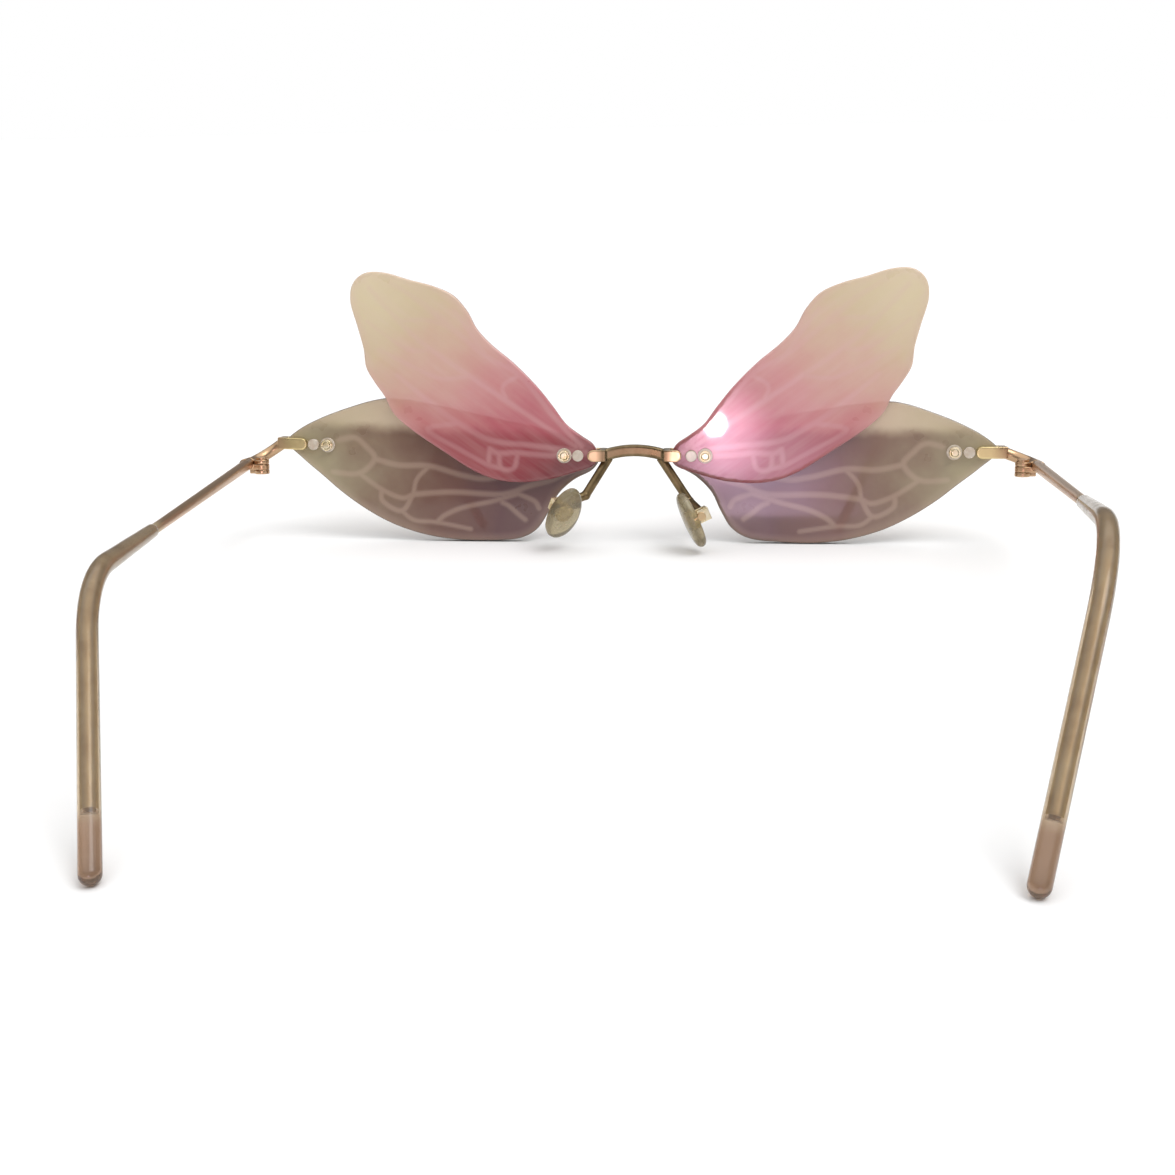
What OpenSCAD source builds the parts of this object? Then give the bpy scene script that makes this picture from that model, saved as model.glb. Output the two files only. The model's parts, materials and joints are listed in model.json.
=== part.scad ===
// Costume glasses with fairy-wing lenses: a rimless front of two lower lenses and two
// upper wing plates, a bridge with nose pads, and two temples that fold on screw hinges.
//
// The glasses are laid out in a wearing frame: X towards the wearer's left, Y back from
// the lenses towards the ears, Z up, with X = Y = Z = 0 in the middle of the lens layer,
// between the lenses, at the height of the bridge. They are then leaned back so that
// they stand on the lower edges of the lenses and on the two ear tips.
// Pairs such as temple_pitch give the left value and then the right value, because each
// temple and nose pad is bent by hand; equal values make a symmetric frame.

/* [Plates] */
// Thickness of the lenses and of the upper wings
plate_t = 1.5; // [1.2:0.1:2]
// Thickness of the clear spacer between a lens and a wing
spacer_t = 0.4; // [0.3:0.05:0.6]
// Thickness of the metal feet and claws that hold the plates
claw_t = 1.1; // [0.9:0.1:1.4]
// Height of the bridge bar, the feet and the endpieces
bar_h = 2.2; // [1.8:0.1:2.6]

/* [Fixings] */
// Distance from the middle to each bridge screw
bridge_screw_x = 13.2; // [12.8:0.1:14]
// Distance from the middle to each bridge peg
bridge_peg_x = 10.6; // [10.2:0.1:10.8]
// Distance from the middle to each endpiece screw
end_screw_x = 59; // [58:0.1:59.4]
// Distance from the middle to each endpiece peg
end_peg_x = 61.7; // [61.6:0.1:62]
// Diameter of the screws and pegs through the plates
pin_d = 1.3; // [1.1:0.1:1.4]
// Diameter of the clear washers behind the plates
washer_d = 2.8; // [2.6:0.1:3]
// Width across the round nuts
nut_d = 2.1; // [2:0.1:2.4]

/* [Bridge] */
// Half the free span of the bridge bar
bridge_half = 5.6; // [5.2:0.1:5.8]
// Rise of the bridge bar in its middle
bridge_rise = 0.9; // [0.6:0.1:1.5]
// Depth of the bridge bar, front to back
bridge_depth = 1.8; // [1.4:0.1:2]
// Upward turn of each lens about a point near its middle, left and right
lens_turn = [2.3, 0]; // [0:0.1:2.4]

/* [Nose pads] */
// Length of a nose pad
pad_len = 11; // [9:0.5:11.5]
// Width of a nose pad
pad_w = 7; // [6:0.5:8]
// Thickness of a nose pad
pad_t = 2.2; // [1.6:0.1:2.4]
// How far the top of each pad leans towards the nose, left and right
pad_lean = [30, 24]; // [15:1:32]
// How far each pad is turned to face backward, left and right
pad_turn = [46, 14]; // [0:1:60]
// Diameter of the pad arms
pad_arm_d = 1.7; // [1.2:0.1:1.7]

/* [Hinges] */
// Distance from the middle to each hinge axis
hinge_x = 70.5; // [70:0.1:71]
// Distance of the hinge axes behind the lenses
hinge_y = 5.8; // [5.6:0.1:6.4]
// Outer diameter of the hinge barrels
barrel_d = 2.8; // [2.6:0.1:2.9]
// Diameter of the hinge screws
hinge_pin_d = 1.1; // [1:0.1:1.2]

/* [Temples] */
// Length of the straight stretch of each temple, from hinge to bend, left and right
temple_straight = [92.5, 90]; // [86:0.5:96]
// Length of the bare metal stretch in front of the ear sleeve
bare_len = 70.5; // [60:0.5:75]
// Radius of the bend behind the ear
bend_r = 21; // [18:1:26]
// Length of the straight stretch below the bend
hook_len = 30.5; // [26:0.5:36]
// Angle through which each temple bends down, left and right
bend_angle = [44.6, 58.3]; // [40:0.1:62]
// Upward pitch of each temple, left and right
temple_pitch = [-2, 1.9]; // [-3:0.1:3]
// Inward run of the open temples
temple_splay = 7; // [4:0.5:9]
// Inward lean of the bent ends
temple_roll = 14; // [8:1:16]
// Diameter of the bare metal arm at the hinge
arm_root_d = 2.1; // [1.9:0.1:2.1]
// Diameter of the bare metal arm where the sleeve starts
arm_tip_d = 1.5; // [1.5:0.1:1.9]
// Diameter of the metal core inside the sleeve
core_d = 1.3; // [1.1:0.1:1.4]
// Outer diameter of the ear sleeves at their front ends
sleeve_front_d = 2; // [1.9:0.1:2.4]
// Outer diameter of the ear sleeves from the bend to the tip
sleeve_d = 2.6; // [2.4:0.1:2.8]
// Length of solid sleeve past the end of the core
sleeve_end = 7; // [4:0.5:10]

/* [Stance] */
// Lean of the whole pair when it stands on its lenses and ear tips
tilt = 7.36; // [7.3:0.02:7.5]
// Height of the bridge above the surface
lift = 16.6; // [16.5:0.05:16.7]
// Shift that puts the origin under the middle of the whole pair
shift_y = -66.55; // [-67:0.05:-66]

/* [Hidden] */

LEFT = 0;
RIGHT = 1;
round_fn = 48;
curve_steps = 5;
fit_gap = 0.05;     // running clearance round pins, on the radius
butt_gap = 0.1;     // gap between faces that part when a temple folds
seam = 0.02;        // overlap where two round solids join
past = 1;           // how far a cutting shape runs past the faces that it cuts
through = 10;       // length of a cut that goes right through a small piece
joint_extra = 0.2;  // extra diameter of the ball at a rod's far end

// Colours
gold = "#b79a72";
smoke = "#8f8474";
pink = "#d59aa6";
clear_plastic = "#e6e0d0";
sleeve_brown = "#a08462";

// Layers, front to back: foot, lens, spacer, wing, claw
lens_back = plate_t / 2;
lens_front = -plate_t / 2;
wing_front = lens_back + spacer_t;
wing_back = wing_front + plate_t;
foot_front = lens_front - claw_t;
claw_back = wing_back + claw_t;
hole_d = pin_d + 2 * fit_gap;
head_t = 0.6;
washer_t = 0.4;
nut_t = 1;
cap_t = 0.8;
slot_w = 0.3;
slot_depth = 0.25;

// Outline of the left lens, as (X, Z) points of a closed smooth curve
lens_points = [
    [67, 0.8], [64.6, 3.4], [60, 5.9], [55, 7.9], [50, 9.5], [46, 9.9], [38, 9], [28, 7.2],
    [17, 5.2], [10, 2.6], [7, 0.3], [8, -2], [11.5, -4.1], [14.4, -7], [16.2, -10.6],
    [18.4, -14], [22, -15.9], [28, -16.5], [34, -16.6], [40, -15.9], [46, -14.2],
    [51.2, -11.7], [56, -8.6], [60, -5.4], [64, -2.2]
];
// Outline of the left upper wing, as (X, Z) points of a closed smooth curve
wing_points = [
    [6.9, 0], [7.8, 2.1], [10.2, 3.8], [12.9, 5.9], [15.5, 9.4], [18.6, 13.2],
    [22.6, 17.2], [26.6, 20.5], [29.4, 23.5], [31.2, 26.8], [33.8, 29.7], [37.5, 31.4],
    [42, 32.6], [46.5, 33.9], [50.2, 33.9], [52.6, 32], [53.2, 28.6], [52, 24], [51, 20],
    [50.6, 16.5], [49, 13.6], [47.2, 11], [45.6, 7.8], [42, 4.6], [37, 1.2],
    [30, -3.2], [24, -5], [17, -4.7], [10.5, -3], [7.6, -1.8]
];
end_z = 0.6;        // height of the endpiece fixings above the bridge, before lens_turn
arm_z = -1.3;       // height of the hinge bars and temple arms above the bridge
lens_turn_x = 30;   // distance from the middle to the point that a lens turns about

// Bridge
bridge_r = (bridge_half * bridge_half + bridge_rise * bridge_rise) / (2 * bridge_rise);
bridge_angle = asin(bridge_half / bridge_r);
bridge_y = 1.5;
claw_web_t = 1.3;
bridge_web_x = 5.3;
bridge_claw_len = 2.4;

// Endpieces
end_web_x = 67.3;
end_turn_r = 4.5;
end_bar_d = 2.1;
end_bar_start = 0.3;
claw_gap = 0.15;
end_claw_x = end_peg_x + nut_d / 2 + claw_gap + bar_h / 2;
arm_x = hinge_x + 2.5;

// Hinge knuckles, as heights in the wearing frame
knuckle_h = 0.8;
hinge_top = -0.6;
middle_top = hinge_top - knuckle_h - fit_gap;
middle_h = 1;
lower_top = middle_top - middle_h - fit_gap;
hinge_bottom = lower_top - knuckle_h;
web_y = 1.3;
lug_len = 3;
post_w = 1;
hinge_head_d = 2.2;
hinge_head_t = 0.5;

// Nose pad mounting: the point on each pad screw, and the arm's route to the pad box,
// from the bridge to a knee in front of the pad and on to the front wall of the box
pad_pivot = [[13.8, 7.2, -9.2], [12.4, 7.2, -10.6]];
pad_arm_root = [4.8, 1.5, -0.4];
pad_arm_knee = [-0.1, 5.6, 2.1];
pad_arm_end_x = -0.7;
box_gap = 1.1;
box_wall = 0.6;
box_w = box_gap + 2 * box_wall;
box_h = 2.4;
box_back = 1.7;
box_mouth = 0.6;
pad_pin_d = 1;
pad_head_d = 1.6;
pad_head_t = 0.4;
pad_front = 0.9;
lug_t = box_gap - 2 * fit_gap;
lug_d = 1.9;
lug_w = 1.8;
disc_d = 3.4;
disc_t = 0.6;
disc_cover = 0.2;
disc_x = pad_front + disc_cover;

// ---- General shapes ----

// A point on the closed Catmull-Rom curve through p, between point i and the next
function curve_point(p, i, t) =
    let (n = len(p), a = p[(i + n - 1) % n], b = p[i], c = p[(i + 1) % n], d = p[(i + 2) % n])
    (2 * b + (c - a) * t + (2 * a - 5 * b + 4 * c - d) * t * t
        + (3 * b - a - 3 * c + d) * t * t * t) / 2;

function smooth_curve(p) =
    [for (i = [0 : len(p) - 1], k = [0 : curve_steps - 1]) curve_point(p, i, k / curve_steps)];

// A cylinder along Y between two depths
module pin_y(x, z, d, y0, y1) {
    translate([x, y1, z])
        rotate([90, 0, 0])
            cylinder(d = d, h = y1 - y0, $fn = round_fn);
}

// A plate of the given outline between two depths
module plate(points, y0, y1) {
    translate([0, y1, 0])
        rotate([90, 0, 0])
            linear_extrude(y1 - y0)
                polygon(smooth_curve(points));
}

// A flat foot from x0 to x1 with a round end at x1
module foot(x0, x1, z, y0, y1) {
    translate([min(x0, x1), y0, z - bar_h / 2])
        cube([abs(x1 - x0), y1 - y0, bar_h]);
    pin_y(x1, z, bar_h, y0, y1);
}

// A bar section, w by h, with round corners
module bar_section(w, h) {
    r = 0.5;
    square([w - 2 * r, h], center = true);
    square([w, h - 2 * r], center = true);
    for (sx = [-1, 1], sy = [-1, 1])
        translate([sx * (w / 2 - r), sy * (h / 2 - r)])
            circle(r, $fn = round_fn);
}

// A round rod from one point to another, with a slightly larger ball at the far end
module rod(a, b, d) {
    v = b - a;
    translate(a)
        rotate([0, acos(v[2] / norm(v)), atan2(v[1], v[0])])
            cylinder(d = d, h = norm(v), $fn = round_fn);
    translate(b)
        sphere(d = d + joint_extra, $fn = round_fn);
}

// ---- Placing ----

module stand() {
    translate([0, shift_y, lift])
        rotate([tilt, 0, 0])
            children();
}

module on_side(side) {
    stand()
        mirror([side, 0, 0])
            children();
}

// Turns a lens, or the fixings at its outer end, about a point near the middle of the lens
module turned(side) {
    translate([lens_turn_x, 0, 0])
        rotate([0, -lens_turn[side], 0])
            translate([-lens_turn_x, 0, 0])
                children();
}

// ---- Plates and their fixings, drawn for the left side ----

module lens(side) {
    color(smoke)
        on_side(side)
            difference() {
                turned(side)
                    difference() {
                        plate(lens_points, lens_front, lens_back);
                        for (x = [end_peg_x, end_screw_x])
                            pin_y(x, end_z, hole_d, lens_front - past, lens_back + past);
                    }
                for (x = [bridge_peg_x, bridge_screw_x])
                    pin_y(x, 0, hole_d, lens_front - past, lens_back + past);
            }
}

module wing(side) {
    color(pink)
        on_side(side)
            difference() {
                plate(wing_points, wing_front, wing_back);
                for (x = [bridge_peg_x, bridge_screw_x])
                    pin_y(x, 0, hole_d, wing_front - past, wing_back + past);
            }
}

module wing_spacer(side) {
    color(clear_plastic)
        on_side(side)
            difference() {
                union() {
                    foot(bridge_peg_x, bridge_screw_x, 0, lens_back, wing_front);
                    pin_y(bridge_peg_x, 0, bar_h, lens_back, wing_front);
                }
                for (x = [bridge_peg_x, bridge_screw_x])
                    pin_y(x, 0, hole_d, lens_back - past, wing_front + past);
            }
}

// A screw with its slotted head in front of a foot, ending flush in its nut
module plate_screw(x, z, y_back) {
    y_head = foot_front - head_t;
    difference() {
        union() {
            pin_y(x, z, nut_d, y_head, foot_front);
            pin_y(x, z, pin_d, foot_front, y_back + washer_t + nut_t);
        }
        translate([x, y_head, z])
            cube([nut_d + past, 2 * slot_depth, slot_w], center = true);
    }
}

// A washer and a round nut behind a plate
module plate_washer(x, z, y_back) {
    difference() {
        pin_y(x, z, washer_d, y_back, y_back + washer_t);
        pin_y(x, z, hole_d, y_back - past, y_back + washer_t + past);
    }
}

module plate_nut(x, z, y_back) {
    y0 = y_back + washer_t;
    difference() {
        pin_y(x, z, nut_d, y0, y0 + nut_t);
        pin_y(x, z, hole_d, y0 - past, y0 + nut_t + past);
    }
}

// A blind clear cap pushed over the end of a peg
module peg_cap(x, z, y_back) {
    difference() {
        pin_y(x, z, nut_d, y_back, y_back + cap_t);
        pin_y(x, z, hole_d, y_back - past, y_back + cap_t / 2);
    }
}

module bridge_screw(side) {
    color(gold)
        on_side(side)
            plate_screw(bridge_screw_x, 0, wing_back);
}

module bridge_washer(side) {
    color(clear_plastic)
        on_side(side)
            plate_washer(bridge_screw_x, 0, wing_back);
}

module bridge_nut(side) {
    color(gold)
        on_side(side)
            plate_nut(bridge_screw_x, 0, wing_back);
}

module bridge_peg_cap(side) {
    color(clear_plastic)
        on_side(side)
            peg_cap(bridge_peg_x, 0, wing_back);
}

module end_screw(side) {
    color(gold)
        on_side(side)
            turned(side)
                plate_screw(end_screw_x, end_z, lens_back);
}

module end_washer(side) {
    color(clear_plastic)
        on_side(side)
            turned(side)
                plate_washer(end_screw_x, end_z, lens_back);
}

module end_nut(side) {
    color(gold)
        on_side(side)
            turned(side)
                plate_nut(end_screw_x, end_z, lens_back);
}

module end_peg_cap(side) {
    color(clear_plastic)
        on_side(side)
            turned(side)
                peg_cap(end_peg_x, end_z, lens_back);
}

// ---- Bridge ----

// Foot, web, claw and peg at the left end of the bridge
module bridge_end() {
    difference() {
        foot(bridge_web_x, bridge_screw_x, 0, foot_front, lens_front);
        pin_y(bridge_screw_x, 0, hole_d, foot_front - past, lens_front + past);
    }
    translate([bridge_web_x, foot_front, -bar_h / 2])
        cube([claw_web_t, claw_back - foot_front, bar_h]);
    foot(bridge_web_x, bridge_web_x + bridge_claw_len, 0, wing_back, claw_back);
    pin_y(bridge_peg_x, 0, pin_d, lens_front - claw_t / 2, wing_back + cap_t / 3);
}

// The arched bar of the bridge
module bridge_bar() {
    translate([0, bridge_y, bridge_rise - bridge_r])
        rotate([90, 0, 0])
            rotate([0, 0, 90 - bridge_angle])
                rotate_extrude(angle = 2 * bridge_angle, $fn = 4 * round_fn)
                    translate([bridge_r, 0])
                        bar_section(bar_h, bridge_depth);
}

module bridge() {
    color(gold)
        stand() {
            bridge_bar();
            for (side = [LEFT, RIGHT])
                mirror([side, 0, 0])
                    bridge_end();
        }
}

// ---- Nose pads ----

// Pad frame: origin on the pad screw, X towards the nose, Y along the screw, Z up the pad
module in_pad(side) {
    translate(pad_pivot[side])
        rotate([0, pad_lean[side], 180 - pad_turn[side]])
            children();
}

// Where a point of the pad frame lies in the wearing frame
function pad_point(side, p) =
    let (
        lean = pad_lean[side],
        turn = 180 - pad_turn[side],
        u = p[0] * cos(lean) + p[2] * sin(lean)
    )
    pad_pivot[side] + [
        u * cos(turn) - p[1] * sin(turn),
        u * sin(turn) + p[1] * cos(turn),
        p[2] * cos(lean) - p[0] * sin(lean)
    ];

module pad_pin(d, h) {
    rotate([90, 0, 0])
        cylinder(d = d, h = h, center = true, $fn = round_fn);
}

// A bent rod, soldered to the underside of the bridge and to the front of the pad box
module pad_arm(side) {
    knee = pad_point(side, pad_arm_knee);
    end = pad_point(side, [pad_arm_end_x, box_w / 2 + pad_arm_d / 4, 0]);
    color(gold)
        on_side(side)
            difference() {
                union() {
                    rod(pad_arm_root, knee, pad_arm_d);
                    rod(knee, end, pad_arm_d);
                }
                bridge_bar();
                bridge_end();
                in_pad(side)
                    translate([-box_back, -box_w / 2, -box_h / 2])
                        cube([box_back + box_mouth, box_w, box_h]);
            }
}

module pad_box(side) {
    color(gold)
        on_side(side)
            in_pad(side)
                difference() {
                    union() {
                        translate([-box_back, -box_w / 2, -box_h / 2])
                            cube([box_wall, box_w, box_h]);
                        for (y = [-box_w / 2, box_gap / 2])
                            translate([-box_back, y, -box_h / 2])
                                cube([box_back + box_mouth, box_wall, box_h]);
                    }
                    pad_pin(pad_pin_d, through);
                }
}

module pad_screw(side) {
    color(gold)
        on_side(side)
            in_pad(side) {
                pad_pin(pad_pin_d, box_w);
                translate([0, -(box_w + pad_head_t) / 2, 0])
                    pad_pin(pad_head_d, pad_head_t);
            }
}

// The part of the insert that lies in the pad: a neck and a disc
module insert_root() {
    translate([0, -lug_t / 2, -lug_w / 2])
        cube([disc_x, lug_t, lug_w]);
    translate([disc_x, 0, 0])
        rotate([0, 90, 0])
            cylinder(d = disc_d, h = disc_t, $fn = round_fn);
}

module pad_insert(side) {
    color(gold)
        on_side(side)
            in_pad(side)
                difference() {
                    union() {
                        pad_pin(lug_d, lug_t);
                        insert_root();
                    }
                    pad_pin(pad_pin_d + 2 * fit_gap, through);
                }
}

// A pad is an oval plate moulded round its insert
module nose_pad(side) {
    half = (pad_len - pad_w) / 2;
    color(clear_plastic)
        on_side(side)
            in_pad(side)
                difference() {
                    translate([pad_front, 0, 0])
                        rotate([0, 90, 0]) {
                            for (s = [-1, 1])
                                translate([s * half, 0, 0])
                                    cylinder(d = pad_w, h = pad_t, $fn = round_fn);
                            translate([-half, -pad_w / 2, 0])
                                cube([2 * half, pad_w, pad_t]);
                        }
                    insert_root();
                }
}

// ---- Endpieces and hinges ----

// A hinge knuckle without its hole
module knuckle(top, h) {
    translate([hinge_x, hinge_y, top - h])
        cylinder(d = barrel_d, h = h, $fn = round_fn);
}

module hinge_bore(d) {
    translate([hinge_x, hinge_y, hinge_bottom - past])
        cylinder(d = d, h = hinge_top - hinge_bottom + 2 * past, $fn = round_fn);
}

// Foot, claw, web and peg at the outer end of a lens
module end_claw() {
    foot(end_web_x + claw_web_t, end_screw_x, end_z, foot_front, lens_front);
    foot(end_web_x + claw_web_t, end_claw_x, end_z, lens_back, lens_back + claw_t);
    translate([end_web_x, foot_front, end_z - bar_h / 2])
        cube([claw_web_t, lens_back + claw_t - foot_front, bar_h]);
    pin_y(end_peg_x, end_z, pin_d, lens_front - claw_t / 2, lens_back + cap_t / 3);
}

// The round bar that slopes out from the claw and curves back to the hinge
module end_bar(side) {
    turn = lens_turn[side];
    u = end_web_x + claw_web_t / 2 - lens_turn_x;
    x = lens_turn_x + u * cos(turn) - end_z * sin(turn);
    z = u * sin(turn) + end_z * cos(turn);
    reach = norm([arm_x - x, z - arm_z]) - end_turn_r;
    depth = -bar_h / 4;
    translate([x, depth, z])
        rotate([0, atan2(z - arm_z, arm_x - x), 0]) {
            translate([end_bar_start, 0, 0])
                rotate([0, 90, 0])
                    cylinder(d = end_bar_d + seam, h = reach - end_bar_start + seam,
                        $fn = round_fn);
            translate([reach, end_turn_r, 0])
                rotate([0, 0, -90])
                    rotate_extrude(angle = 90, $fn = 2 * round_fn)
                        translate([end_turn_r, 0])
                            circle(d = end_bar_d, $fn = round_fn);
        }
    pin_y(arm_x, arm_z, end_bar_d + seam, depth + end_turn_r - seam, hinge_y - butt_gap / 2);
}

module endpiece(side) {
    post_x = arm_x - end_bar_d / 2;
    web_depth = web_y - butt_gap / 2;
    color(gold)
        on_side(side)
            difference() {
                union() {
                    turned(side)
                        end_claw();
                    end_bar(side);
                    for (top = [hinge_top, lower_top]) {
                        knuckle(top, knuckle_h);
                        translate([hinge_x, hinge_y - web_y, top - knuckle_h])
                            cube([post_x + post_w / 2 - hinge_x, web_depth, knuckle_h]);
                    }
                    // Post from the bar down to the lower knuckle
                    translate([post_x, hinge_y - web_y, hinge_bottom])
                        cube([post_w, web_depth, arm_z - hinge_bottom]);
                }
                turned(side)
                    pin_y(end_screw_x, end_z, hole_d, foot_front - past, lens_front + past);
                hinge_bore(hinge_pin_d);
            }
}

module hinge_screw(side) {
    color(gold)
        on_side(side)
            translate([hinge_x, hinge_y, hinge_bottom]) {
                cylinder(d = hinge_pin_d, h = hinge_top - hinge_bottom, $fn = round_fn);
                translate([0, 0, hinge_top - hinge_bottom])
                    difference() {
                        cylinder(d = hinge_head_d, h = hinge_head_t, $fn = round_fn);
                        translate([0, 0, hinge_head_t])
                            cube([hinge_head_d + past, slot_w, 2 * slot_depth], center = true);
                    }
            }
}

// ---- Temples ----

// Temple frame: the arm runs along Y from the origin and bends down towards -Z
module in_temple(side) {
    translate([arm_x, hinge_y, arm_z])
        rotate([temple_pitch[side], 0, temple_splay])
            rotate([0, temple_roll, 0])
                children();
}

// A round rod along the temple: from y0, where it has diameter d0, to the bend, round it,
// and a hook of the given length, which is a hair thicker and starts a hair early, so
// that it joins the bend
module temple_rod(side, d, d0, y0, hook) {
    bend = bend_angle[side];
    straight = temple_straight[side];
    translate([0, straight, 0])
        rotate([90, 0, 0])
            cylinder(d1 = d, d2 = d0, h = straight - y0, $fn = round_fn);
    translate([0, straight, -bend_r])
        rotate([0, -90, 0])
            rotate_extrude(angle = bend, $fn = 4 * round_fn)
                translate([bend_r, 0])
                    circle(d = d, $fn = round_fn);
    at_hook(side)
        translate([0, 0, -seam])
            cylinder(d = d + seam, h = hook + seam, $fn = round_fn);
}

// Hook frame: origin at the end of the bend, +Z towards the tip
module at_hook(side) {
    bend = bend_angle[side];
    translate([0, temple_straight[side] + bend_r * sin(bend), -bend_r * (1 - cos(bend))])
        rotate([-90 - bend, 0, 0])
            children();
}

module temple(side) {
    lug_y = hinge_y + butt_gap / 2;
    color(gold)
        on_side(side)
            difference() {
                union() {
                    knuckle(middle_top, middle_h);
                    translate([hinge_x, lug_y, middle_top - middle_h])
                        cube([arm_x - hinge_x, web_y, middle_h]);
                    pin_y(arm_x, arm_z, end_bar_d, lug_y, lug_y + lug_len);
                    in_temple(side) {
                        translate([0, bare_len, 0])
                            rotate([90, 0, 0])
                                cylinder(d1 = arm_tip_d, d2 = arm_root_d,
                                    h = bare_len - lug_len / 2, $fn = round_fn);
                        temple_rod(side, core_d, core_d, bare_len - past,
                            hook_len - sleeve_end);
                    }
                }
                hinge_bore(hinge_pin_d + 2 * fit_gap);
            }
}

module sleeve(side) {
    color(sleeve_brown)
        on_side(side)
            in_temple(side)
                difference() {
                    union() {
                        temple_rod(side, sleeve_d, sleeve_front_d, bare_len, hook_len);
                        at_hook(side)
                            translate([0, 0, hook_len])
                                sphere(d = sleeve_d + seam, $fn = round_fn);
                    }
                    temple_rod(side, core_d + fit_gap, core_d + fit_gap, bare_len - past,
                        hook_len - sleeve_end + fit_gap);
                }
}

lens(LEFT);  // lens_left
lens(RIGHT);  // lens_right
wing(LEFT);  // wing_left
wing(RIGHT);  // wing_right
wing_spacer(LEFT);  // wing_spacer_left
wing_spacer(RIGHT);  // wing_spacer_right
bridge();
bridge_screw(LEFT);  // bridge_screw_left
bridge_screw(RIGHT);  // bridge_screw_right
bridge_washer(LEFT);  // bridge_washer_left
bridge_washer(RIGHT);  // bridge_washer_right
bridge_nut(LEFT);  // bridge_nut_left
bridge_nut(RIGHT);  // bridge_nut_right
bridge_peg_cap(LEFT);  // bridge_peg_cap_left
bridge_peg_cap(RIGHT);  // bridge_peg_cap_right
pad_arm(LEFT);  // pad_arm_left
pad_arm(RIGHT);  // pad_arm_right
pad_box(LEFT);  // pad_box_left
pad_box(RIGHT);  // pad_box_right
pad_screw(LEFT);  // pad_screw_left
pad_screw(RIGHT);  // pad_screw_right
pad_insert(LEFT);  // pad_insert_left
pad_insert(RIGHT);  // pad_insert_right
nose_pad(LEFT);  // nose_pad_left
nose_pad(RIGHT);  // nose_pad_right
endpiece(LEFT);  // endpiece_left
endpiece(RIGHT);  // endpiece_right
end_screw(LEFT);  // end_screw_left
end_screw(RIGHT);  // end_screw_right
end_washer(LEFT);  // end_washer_left
end_washer(RIGHT);  // end_washer_right
end_nut(LEFT);  // end_nut_left
end_nut(RIGHT);  // end_nut_right
end_peg_cap(LEFT);  // end_peg_cap_left
end_peg_cap(RIGHT);  // end_peg_cap_right
hinge_screw(LEFT);  // hinge_screw_left
hinge_screw(RIGHT);  // hinge_screw_right
temple(LEFT);  // temple_left
temple(RIGHT);  // temple_right
sleeve(LEFT);  // sleeve_left
sleeve(RIGHT);  // sleeve_right
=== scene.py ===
"""The looks of the fairy-wing glasses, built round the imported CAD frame.

Blender works in metres in the row's frame. Shapes are described in the wearing frame, in
millimetres: X from the nose out to one side, Y from the lenses back to the ears, and Z up
from the bridge. wear(side) turns them into the row's frame, mirrored for the right side.
"""

import json
import math

import bmesh
import bpy
import numpy as np
from mathutils import Matrix, Vector, geometry


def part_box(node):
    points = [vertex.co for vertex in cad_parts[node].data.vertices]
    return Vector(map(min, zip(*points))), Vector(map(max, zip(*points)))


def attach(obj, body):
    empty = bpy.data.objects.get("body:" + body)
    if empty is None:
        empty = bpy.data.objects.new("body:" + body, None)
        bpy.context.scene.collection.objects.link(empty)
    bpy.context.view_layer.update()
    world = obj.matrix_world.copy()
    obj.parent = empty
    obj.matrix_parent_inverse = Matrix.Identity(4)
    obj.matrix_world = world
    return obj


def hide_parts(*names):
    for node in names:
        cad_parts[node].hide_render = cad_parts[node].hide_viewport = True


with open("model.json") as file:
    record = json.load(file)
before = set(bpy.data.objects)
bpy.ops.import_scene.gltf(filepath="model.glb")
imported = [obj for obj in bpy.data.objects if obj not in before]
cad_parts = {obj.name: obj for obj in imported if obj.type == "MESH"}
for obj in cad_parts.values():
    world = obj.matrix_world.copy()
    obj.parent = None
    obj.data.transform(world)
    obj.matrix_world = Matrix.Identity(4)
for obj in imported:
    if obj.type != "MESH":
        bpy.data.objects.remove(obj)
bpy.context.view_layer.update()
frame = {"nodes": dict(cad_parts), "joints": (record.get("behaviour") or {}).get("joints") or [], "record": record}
joints = {j["name"]: j for j in frame["joints"]}

MM = 0.001
SIDES = {"left": 1, "right": -1}

# ---- Sizes in the wearing frame, in millimetres, as in the CAD model ----

HINGE = Vector((70.5, 5.8, -1.0))
PLATE_T = 1.5
SPACER_T = 0.4
HOLE_R = 0.7
ARM_X = HINGE.x + 2.5
ARM_Z = -1.3
LENS_TURN = {"left": 2.3, "right": 0}
LENS_TURN_X = 30
TEMPLE_STRAIGHT = {"left": 92.5, "right": 90}
BARE_LEN = 70.5
BEND_R = 21
HOOK_LEN = 30.5
TEMPLE_SPLAY = 7
TEMPLE_ROLL = 14
TEMPLE_PITCH = {"left": -2, "right": 1.9}
BEND_ANGLE = {"left": 44.6, "right": 58.3}
CORE_R = 0.65
LUG_LEN = 3
ARM_ROOT_R = 1.05
ARM_TIP_R = 0.75
SLEEVE_R = 1.3
SLEEVE_FRONT_R = 1.0
SLEEVE_END = 7
PAD_LEAN = {"left": 30, "right": 24}
PAD_TURN = {"left": 46, "right": 14}
PAD_LEN = 11
PAD_W = 7
PAD_T = 2.2
PAD_FRONT = 0.9

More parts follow.
